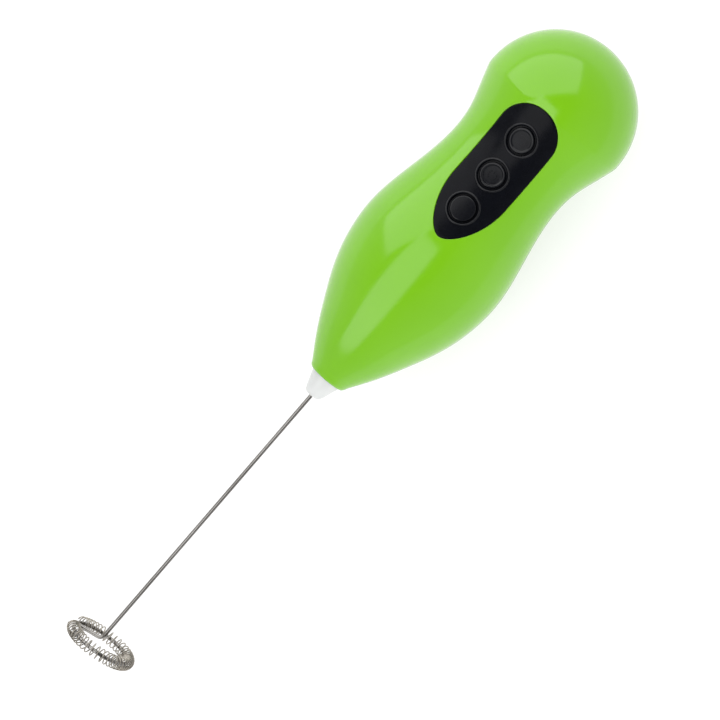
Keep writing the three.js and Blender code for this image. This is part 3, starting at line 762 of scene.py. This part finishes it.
def on_panel(x, y, crown):
    """A point on a cap's top."""
    centre = BUTTONS["power"]
    return np.c_[x, y, height_at(x, y) + crown(np.hypot(x - centre, y))]


def power_mark(crown):
    """The usual on-off sign, a broken ring with a bar, as two fine beads on the cap."""
    x, bead = BUTTONS["power"], 0.11
    angle = np.radians(np.linspace(40, 320, 60))
    ring = on_panel(x + 1.15 * np.cos(angle), 1.15 * np.sin(angle), crown)
    across = np.linspace(0.35, 1.5, 12)
    bar = on_panel(x + across, np.zeros(12), crown)
    return [tube("mark_ring", ring, bead, 8), tube("mark_bar", bar, bead, 8)]


def buttons():
    tops = {"slow": flat_top(0.24), "power": dished_top(0.0, 0.42), "fast": dished_top(0.04, 0.3)}
    for name, crown in tops.items():
        cap = button(name, crown)
        if name == "power":
            cap = join([cap, *power_mark(crown)])
        finish_piece(cap, BUTTON_BLACK, f"{name}_button", "black_button", f"{name}_button")
        polish(cap, RIM[name], CAP_RADIUS)


# ---- Whisk ------------------------------------------------------------------------------------------

def ring_point(angle):
    share = (angle - RING_START) / (RING_END - RING_START)
    y = RING_RADIUS * np.cos(angle)
    x = RING_X - RING_LEAN * y - RING_DROP * (share - 0.5)
    return np.c_[x, y + RING_OFFSET, -RING_RADIUS * np.sin(angle)]


def whisk_wire():
    corner = 1.5
    start = ring_point(np.array([RING_START]))[0]
    elbow = np.array([SPOKE_X, 0, 0])
    rim = np.array([start[0], start[1], 0])
    spoke = (rim - elbow) / np.linalg.norm(rim - elbow) * corner
    shaft_end = np.array([SPOKE_X + corner, 0, 0])

    def bend(a, b, c):
        t = np.linspace(0, 1, 14)[:, None]
        return (1 - t) ** 2 * a + 2 * (1 - t) * t * b + t ** 2 * c

    shaft = np.linspace((14, 0, 0), shaft_end, 60)
    first = bend(shaft_end, elbow, elbow + spoke)
    straight = np.linspace(elbow + spoke, rim - spoke, 10)
    second = bend(rim - spoke, rim, start)
    ring = ring_point(np.linspace(RING_START, RING_END, 150))
    path = np.vstack([shaft, first[1:], straight[1:], second[1:], ring[1:]])
    obj = tube("whisk_wire_fine", path, WIRE_RADIUS, 16)
    # The wire takes the darker copy of the steel, painted shade from the coil round the ring.
    return finish_piece(obj, SHADED_WHISK_STEEL, "whisk", "whisk_steel", "whisk_wire")


def whisk_coil():
    t = np.linspace(0, 1, COIL_TURNS * 26)
    angle = COIL_START + t * (RING_END - COIL_START)
    turn = 2 * math.pi * COIL_TURNS * (t + COIL_SPREAD * np.sin(4 * math.pi * t))
    outward = np.c_[np.zeros_like(t), np.cos(angle), -np.sin(angle)]
    path = ring_point(angle) + outward * (COIL_RADIUS * np.cos(turn))[:, None]
    path[:, 0] += COIL_RADIUS * np.sin(turn)
    obj = tube("whisk_coil_fine", path, COIL_WIRE, 8)
    return finish_piece(obj, COIL_STEEL, "whisk", "whisk_steel", "whisk_coil")


# ---- Inside -----------------------------------------------------------------------------------------

def cell(node, direction):
    """A smooth cell over the CAD one: sleeve, rounded shoulders, nub and flat end."""
    low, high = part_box(node)
    length = (high.x - low.x) / MM
    radius = (high.z - low.z) / 2 / MM
    centre = (low + high) / 2
    start = ((low if direction > 0 else high).x - NOSE_END.x) / MM
    profile = [(0, 0.02), (0, radius - 0.9), (0.15, radius - 0.5), (0.5, radius), (length - 1.8, radius),
               (length - 1.4, radius - 0.4), (length - 1.25, 3.2), (length - 1.0, 2.8),
               (length - 0.2, 2.7), (length, 2.4), (length, 0.02)]
    offset = (start, centre.y / MM, (centre.z - NOSE_END.z) / MM)
    obj = lathe(f"{node}_sleeve", profile, 64, direction, offset, 35)
    return finish_piece(obj, CAD_LOOKS["cell_can"], "handle", "cell_can", node)


# ---- Stage ------------------------------------------------------------------------------------------

LENS = 126.25
CAMERA_AT = (111.0, -68, 696.7)
CAMERA_AIM = (10.0, -3.9, 0)
HANDLE_TILT = math.radians(49.2)  # how far the handle leans from level in the picture


def axes_matrix(x_axis, y_axis, z_axis, origin):
    return Matrix([(*row, at) for row, at in zip(zip(x_axis, y_axis, z_axis), origin)] + [(0, 0, 0, 1)])


def camera():
    data = bpy.data.cameras.new("camera")
    data.sensor_width = 36
    data.lens = LENS
    obj = bpy.data.objects.new("camera", data)
    bpy.context.scene.collection.objects.link(obj)
    eye, target = (Vector(p) for p in place([CAMERA_AT, CAMERA_AIM]))
    forward = (target - eye).normalized()
    along = Vector((1, 0, 0))
    along = (along - forward * along.dot(forward)).normalized()
    side = forward.cross(along)  # to the right when the handle points up
    up = along * math.sin(HANDLE_TILT) - side * math.cos(HANDLE_TILT)
    obj.matrix_world = axes_matrix(forward.cross(up), up, -forward, eye)
    bpy.context.scene.camera = obj


def softbox(name, centre, across, width, height, radiance):
    """A rectangular light that faces the frother, its width along across."""
    data = bpy.data.lights.new(name, "AREA")
    data.shape = "RECTANGLE"
    data.size, data.size_y = width, height
    data.energy = radiance * math.pi * width * height
    obj = bpy.data.objects.new(name, data)
    bpy.context.scene.collection.objects.link(obj)
    centre = Vector(centre)
    back = centre.normalized()
    x_axis = Vector(across)
    x_axis = (x_axis - back * x_axis.dot(back)).normalized()
    obj.matrix_world = axes_matrix(x_axis, back.cross(x_axis), back, centre)
    return obj


WALLS = 0.8  # radiance of the studio level with the table
CEILING = 0.16


def sky():
    """A studio that is bright round the table and dimmer overhead."""
    world = bpy.data.worlds.new("studio")
    world.use_nodes = True
    tree = world.node_tree
    direction = tree.nodes.new("ShaderNodeTexCoord")
    split = tree.nodes.new("ShaderNodeSeparateXYZ")
    ramp = tree.nodes.new("ShaderNodeValToRGB")
    ramp.color_ramp.elements[0].color = (WALLS, WALLS, WALLS, 1)
    ramp.color_ramp.elements[1].color = (CEILING, CEILING, CEILING, 1)
    ramp.color_ramp.elements[0].position = 0.1
    ramp.color_ramp.elements[1].position = 0.9
    tree.links.new(direction.outputs["Generated"], split.inputs[0])
    tree.links.new(split.outputs["Z"], ramp.inputs["Fac"])
    tree.links.new(ramp.outputs["Color"], tree.nodes["Background"].inputs["Color"])
    bpy.context.scene.world = world


def lights():
    """Two lights that the handle reflects, and a fill light that brightens its side without a reflection."""
    softbox("head_softbox", (0.38, 0.46, 0.44), (0.77, -0.64, 0), width=1.4, height=0.84, radiance=1.75)
    softbox("belly_softbox", (-0.44, 0.163, 0.883), (0, 1, 0), width=0.7, height=1.48, radiance=1.95)
    fill = softbox("fill_softbox", (-0.1, -0.8, 0.6), (1, 0, 0), width=1.6, height=1.0, radiance=1.9)
    fill.visible_glossy = False
    sky()


def floor():
    """A pale floor that gives off a little light, so that it comes out as plain white."""
    bpy.ops.mesh.primitive_plane_add(size=6, location=(0, 0, 0))
    obj = bpy.context.object
    obj.name = "floor"
    look = Look("pale_floor", specular_ior_level=0.2, emission_strength=0.62)
    look.shader.inputs["Emission Color"].default_value = (1, 1, 1, 1)
    look.colour(look.noise(3, 2), (0.38, 0.38, 0.38), (0.4, 0.4, 0.4))
    look.roughness(look.noise(20, 2), 0.6, 0.7)
    obj.data.materials.append(look.material)


dress_cad_nodes()
front_shell()
rear_shell()
battery_door()
nose_cone()
button_panel()
buttons()
whisk_wire()
whisk_coil()
cell("battery_left", -1)
cell("battery_right", 1)
camera()
lights()
floor()
bpy.context.scene.view_settings.view_transform = "Standard"
